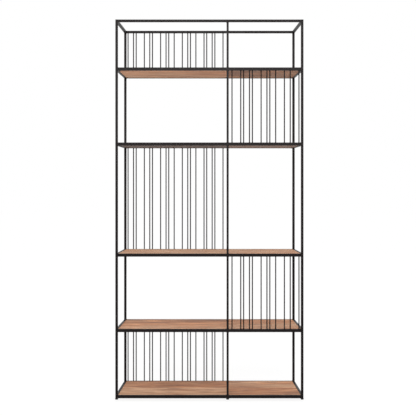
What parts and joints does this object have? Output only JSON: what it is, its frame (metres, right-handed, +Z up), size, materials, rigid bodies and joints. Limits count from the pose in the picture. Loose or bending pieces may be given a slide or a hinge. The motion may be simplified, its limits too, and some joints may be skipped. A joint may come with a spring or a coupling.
{
  "type": "open bookcase",
  "caption": "Tall open bookcase: welded square-tube frame, fixed wooden shelves, an off-centre middle post and unevenly spaced rods that screen alternate bays.",
  "frame": {"origin": "on the floor, below the middle of the bookcase", "axes": "+Z up, +X to the right seen from the front, +Y from the open front to the wall"},
  "size_m": [0.993, 0.353, 2],
  "materials": {
    "frame_steel": "fine matt black powder coat",
    "board_wood": "warm brown solid wood, matt oil, grain along the shelf",
    "foot_plastic": "black moulded plastic"
  },
  "bodies": {
    "frame": {"front_left_post": "frame_steel", "front_right_post": "frame_steel", "back_left_post": "frame_steel", "back_right_post": "frame_steel", "middle_post": "frame_steel", "front_left_insert": "foot_plastic", "front_right_insert": "foot_plastic", "back_left_insert": "foot_plastic", "back_right_insert": "foot_plastic", "middle_insert": "foot_plastic", "top_front_rail": "frame_steel", "top_back_rail": "frame_steel", "top_left_rail": "frame_steel", "top_right_rail": "frame_steel", "shelf_1_back_rail": "frame_steel", "shelf_1_front_rail_left": "frame_steel", "shelf_1_front_rail_right": "frame_steel", "shelf_1_side_rail_left": "frame_steel", "shelf_1_side_rail_right": "frame_steel", "shelf_1_board_left": "board_wood", "shelf_1_board_right": "board_wood", "shelf_2_back_rail": "frame_steel", "shelf_2_front_rail_left": "frame_steel", "shelf_2_front_rail_right": "frame_steel", "shelf_2_side_rail_left": "frame_steel", "shelf_2_side_rail_right": "frame_steel", "shelf_2_board_left": "board_wood", "shelf_2_board_right": "board_wood", "shelf_3_back_rail": "frame_steel", "shelf_3_front_rail_left": "frame_steel", "shelf_3_front_rail_right": "frame_steel", "shelf_3_side_rail_left": "frame_steel", "shelf_3_side_rail_right": "frame_steel", "shelf_3_board_left": "board_wood", "shelf_3_board_right": "board_wood", "shelf_4_back_rail": "frame_steel", "shelf_4_front_rail_left": "frame_steel", "shelf_4_front_rail_right": "frame_steel", "shelf_4_side_rail_left": "frame_steel", "shelf_4_side_rail_right": "frame_steel", "shelf_4_board_left": "board_wood", "shelf_4_board_right": "board_wood", "shelf_5_back_rail": "frame_steel", "shelf_5_front_rail_left": "frame_steel", "shelf_5_front_rail_right": "frame_steel", "shelf_5_side_rail_left": "frame_steel", "shelf_5_side_rail_right": "frame_steel", "shelf_5_board_left": "board_wood", "shelf_5_board_right": "board_wood"},
    "front_left_foot": {"front_left_glide": "foot_plastic"},
    "front_right_foot": {"front_right_glide": "foot_plastic"},
    "back_left_foot": {"back_left_glide": "foot_plastic"},
    "back_right_foot": {"back_right_glide": "foot_plastic"},
    "middle_foot": {"middle_glide": "foot_plastic"}
  },
  "joints": [
    {"name": "front_left_glide_screw", "type": "slide", "parent": "frame", "child": "front_left_foot", "axis": [0, 0, -1], "range_m": [0, 0.01]},
    {"name": "front_right_glide_screw", "type": "slide", "parent": "frame", "child": "front_right_foot", "axis": [0, 0, -1], "range_m": [0, 0.01]},
    {"name": "back_left_glide_screw", "type": "slide", "parent": "frame", "child": "back_left_foot", "axis": [0, 0, -1], "range_m": [0, 0.01]},
    {"name": "back_right_glide_screw", "type": "slide", "parent": "frame", "child": "back_right_foot", "axis": [0, 0, -1], "range_m": [0, 0.01]},
    {"name": "middle_glide_screw", "type": "slide", "parent": "frame", "child": "middle_foot", "axis": [0, 0, -1], "range_m": [0, 0.01]}
  ]
}
